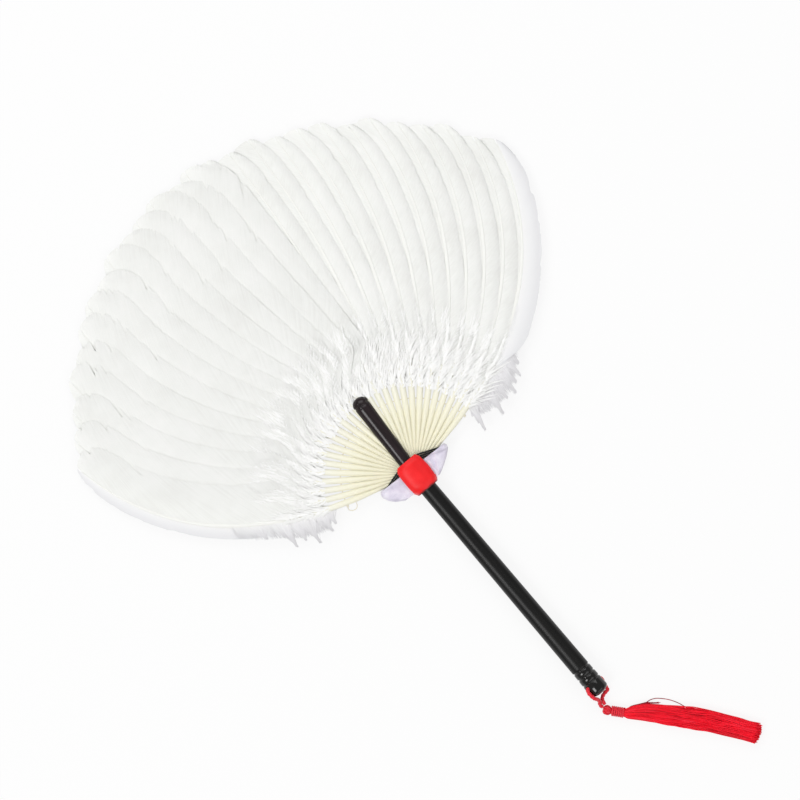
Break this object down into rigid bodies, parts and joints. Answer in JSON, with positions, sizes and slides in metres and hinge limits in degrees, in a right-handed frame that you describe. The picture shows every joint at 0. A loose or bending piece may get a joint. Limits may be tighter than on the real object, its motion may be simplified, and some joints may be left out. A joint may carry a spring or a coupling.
{
  "type": "feather fan",
  "caption": "Fixed hand fan of lapped white goose feathers held in the split top of a slim black turned handle, bound with ribbon and red satin, with a swinging red tassel.",
  "frame": {"origin": "middle of the fan's footprint without its tassel, on the surface that it lies on, front up", "axes": "+Y from the handle's end to the feather tips, +X to the right seen from the front, +Z out of the front"},
  "size_m": [0.379, 0.5671, 0.0193],
  "materials": {
    "lacquered_wood": "black gloss lacquer",
    "feather": "white goose feather",
    "pale_thread": "cotton thread",
    "black_cord": "matt twisted cord",
    "white_satin": "satin ribbon",
    "red_satin": "satin",
    "red_cord": "twisted silky cord",
    "red_thread": "loose silky thread"
  },
  "bodies": {
    "fan": {"handle": "lacquered_wood", "feather_centre": "feather", "feather_left_01": "feather", "feather_left_02": "feather", "feather_left_03": "feather", "feather_left_04": "feather", "feather_left_05": "feather", "feather_left_06": "feather", "feather_left_07": "feather", "feather_left_08": "feather", "feather_left_09": "feather", "feather_left_10": "feather", "feather_left_11": "feather", "feather_left_12": "feather", "feather_left_13": "feather", "feather_right_01": "feather", "feather_right_02": "feather", "feather_right_03": "feather", "feather_right_04": "feather", "feather_right_05": "feather", "feather_right_06": "feather", "feather_right_07": "feather", "feather_right_08": "feather", "feather_right_09": "feather", "feather_right_10": "feather", "feather_right_11": "feather", "feather_right_12": "feather", "feather_right_13": "feather", "sewing_thread": "pale_thread", "quill_binding": "black_cord", "white_ribbon": "white_satin", "red_band": "red_satin"},
    "cord_loop": {"tassel_cord": "red_cord"},
    "tassel": {"tassel_knot": "red_cord", "tassel_winding": "red_cord", "tassel_skirt": "red_thread"}
  },
  "joints": [
    {"name": "loop_swing", "type": "hinge", "parent": "fan", "child": "cord_loop", "pos_m": [-0.0079, -0.22534, 0.0094], "axis": [0.766, 0, -0.6428], "range_deg": [-140, 110]},
    {"name": "tassel_bend", "type": "hinge", "parent": "cord_loop", "child": "tassel", "pos_m": [-0.0126, -0.24654, 0.0039], "axis": [0, 0, 1], "range_deg": [-100, 50]}
  ]
}
